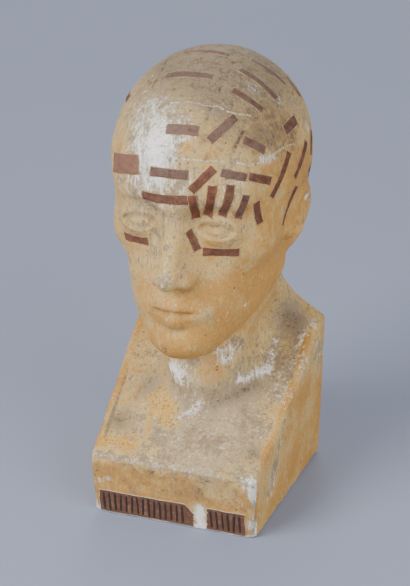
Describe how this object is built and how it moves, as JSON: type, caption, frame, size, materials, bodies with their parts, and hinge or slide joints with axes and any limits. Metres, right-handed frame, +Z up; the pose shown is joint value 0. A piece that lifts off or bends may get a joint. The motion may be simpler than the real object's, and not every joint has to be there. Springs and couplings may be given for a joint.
{
  "type": "phrenology head",
  "caption": "Plaster phrenology bust: bald head and neck on a wedge-shaped block, with paper strip labels glued over the skull and a torn title label along the foot of the front.",
  "frame": {"origin": "centre of the flat underside of the block", "axes": "+Z up, the face looks toward -Y, +X is the viewer's right when facing the bust"},
  "size_m": [0.1142, 0.1528, 0.2707],
  "materials": {
    "plaster": "matt, aged ochre paint worn to chalky plaster",
    "label_paper": "matt, brown with age, fine dark print",
    "title_paper": "matt, brown with age, torn"
  },
  "bodies": {
    "root": {"plaster_bust": "plaster", "label_between_brows": "label_paper", "label_crown": "label_paper", "label_left_above_ear": "label_paper", "label_left_rear": "label_paper", "label_left_side_1": "label_paper", "label_left_side_2": "label_paper", "label_left_temple_large": "label_paper", "label_left_under_eye": "label_paper", "label_left_upper_side": "label_paper", "label_middle_forehead": "label_paper", "label_nose_root": "label_paper", "label_nose_side": "label_paper", "label_parting_front": "label_paper", "label_parting_middle": "label_paper", "label_parting_rear": "label_paper", "label_rear_left": "label_paper", "label_rear_left_upper": "label_paper", "label_rear_middle": "label_paper", "label_rear_right": "label_paper", "label_rear_right_upper": "label_paper", "label_rear_upper": "label_paper", "label_right_above_ear": "label_paper", "label_right_brow_1": "label_paper", "label_right_brow_2": "label_paper", "label_right_brow_3": "label_paper", "label_right_brow_4": "label_paper", "label_right_crown_edge": "label_paper", "label_right_forehead_corner": "label_paper", "label_right_forehead_low": "label_paper", "label_right_forehead_slant": "label_paper", "label_right_rear_lower": "label_paper", "label_right_rear_upper": "label_paper", "label_right_side_1": "label_paper", "label_right_side_2": "label_paper", "label_right_temple_inner": "label_paper", "label_right_temple_outer": "label_paper", "label_right_under_eye": "label_paper", "label_right_upper_side": "label_paper", "label_top_of_forehead": "label_paper", "label_upper_forehead": "label_paper", "title_label_left": "title_paper", "title_label_right": "title_paper"}
  },
  "joints": []
}
